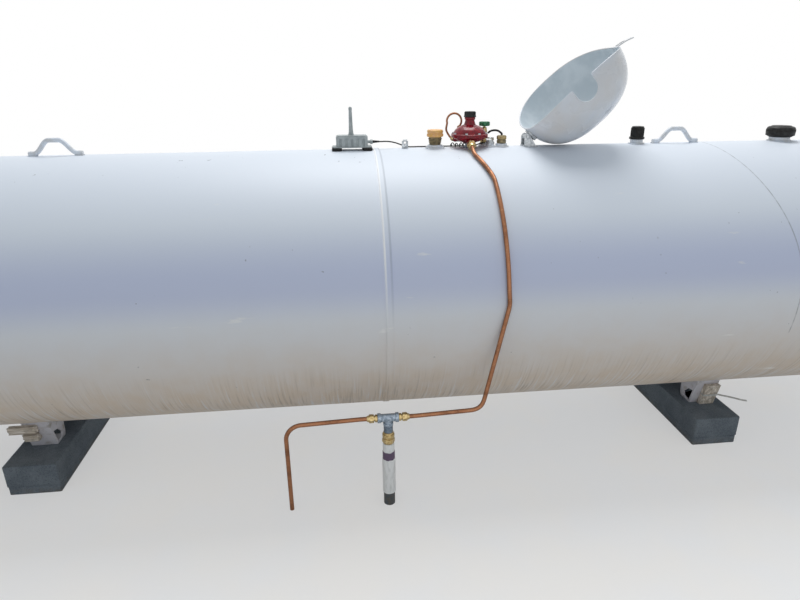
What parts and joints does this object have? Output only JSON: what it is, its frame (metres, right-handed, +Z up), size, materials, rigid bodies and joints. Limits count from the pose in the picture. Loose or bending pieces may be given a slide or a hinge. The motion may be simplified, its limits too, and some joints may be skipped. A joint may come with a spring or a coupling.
{
  "type": "horizontal pressure tank",
  "caption": "White horizontal gas storage tank with round ends on concrete sleepers, with an open domed lid over its red regulator and valves, and a copper line down to a standing pipe.",
  "frame": {"origin": "ground level below the middle of the shell", "axes": "+X along the tank towards the large black cap, +Y away from the side with the copper line, +Z up"},
  "size_m": [4.876, 1.0914, 1.6374],
  "materials": {
    "white_enamel": "gloss enamel with dust and drip marks",
    "concrete": "cast, matt",
    "olive_valve": "dulled",
    "yellow_cap": "moulded",
    "galvanised": "hot dip galvanised",
    "red_paint": "gloss powder coat",
    "black_plastic": "moulded",
    "brass": "machined",
    "green_wheel": "gloss",
    "copper": "drawn tube",
    "clear_lens": "clear",
    "black_rubber": "moulded",
    "grey_plastic": "moulded",
    "cable_jacket": "extruded",
    "zinc_steel": "zinc plated",
    "white_plastic": "extruded",
    "grey_pipe": "extruded, dusty",
    "timber": "weathered softwood"
  },
  "bodies": {
    "tank": {"shell_left": "white_enamel", "shell_right": "white_enamel", "seam_band": "white_enamel", "head_left": "white_enamel", "head_right": "white_enamel", "end_welds": "white_enamel", "foot_left_front": "white_enamel", "foot_left_rear": "white_enamel", "foot_right_front": "white_enamel", "foot_right_rear": "white_enamel", "block_left": "concrete", "block_right": "concrete", "footing_left": "concrete", "footing_right": "concrete", "packing_wood": "timber", "lug_left": "white_enamel", "lug_right": "white_enamel", "couplings": "white_enamel", "fill_valve": "olive_valve", "fill_cap": "yellow_cap", "regulator_stand": "galvanised", "regulator_case": "red_paint", "regulator_bonnet": "red_paint", "regulator_cap": "black_plastic", "outlet_nut": "brass", "service_valve": "brass", "pigtail": "copper", "float_gauge": "galvanised", "gauge_lens": "clear_lens", "liquid_valve": "brass", "vent_tube": "black_plastic", "relief_cap": "black_plastic", "vent_cap": "black_plastic", "sender_feet": "black_rubber", "sender_case": "grey_plastic", "sender_relief": "black_rubber", "aerial": "grey_plastic", "sender_cable": "cable_jacket", "catch_tab": "zinc_steel", "hinge_bracket": "zinc_steel", "hinge_pin": "zinc_steel", "copper_line": "copper", "copper_drop": "copper", "flare_nuts": "brass", "tee": "galvanised", "riser_nipple": "galvanised", "riser_union": "brass", "riser_sleeve": "white_plastic", "riser_pipe": "grey_pipe"},
    "lid": {"lid": "white_enamel", "lid_strap": "zinc_steel", "lid_pull": "white_enamel"},
    "handwheel": {"handwheel": "green_wheel"}
  },
  "joints": [
    {"name": "lid_hinge", "type": "hinge", "parent": "tank", "child": "lid", "pos_m": [0.58, 0, 1.2744], "axis": [0, -1, 0], "range_deg": [0, 138]},
    {"name": "wheel_turn", "type": "hinge", "parent": "tank", "child": "handwheel", "pos_m": [0.424, 0.062, 1.3214], "axis": [0, 0, 1], "range_deg": [0, 720]}
  ]
}
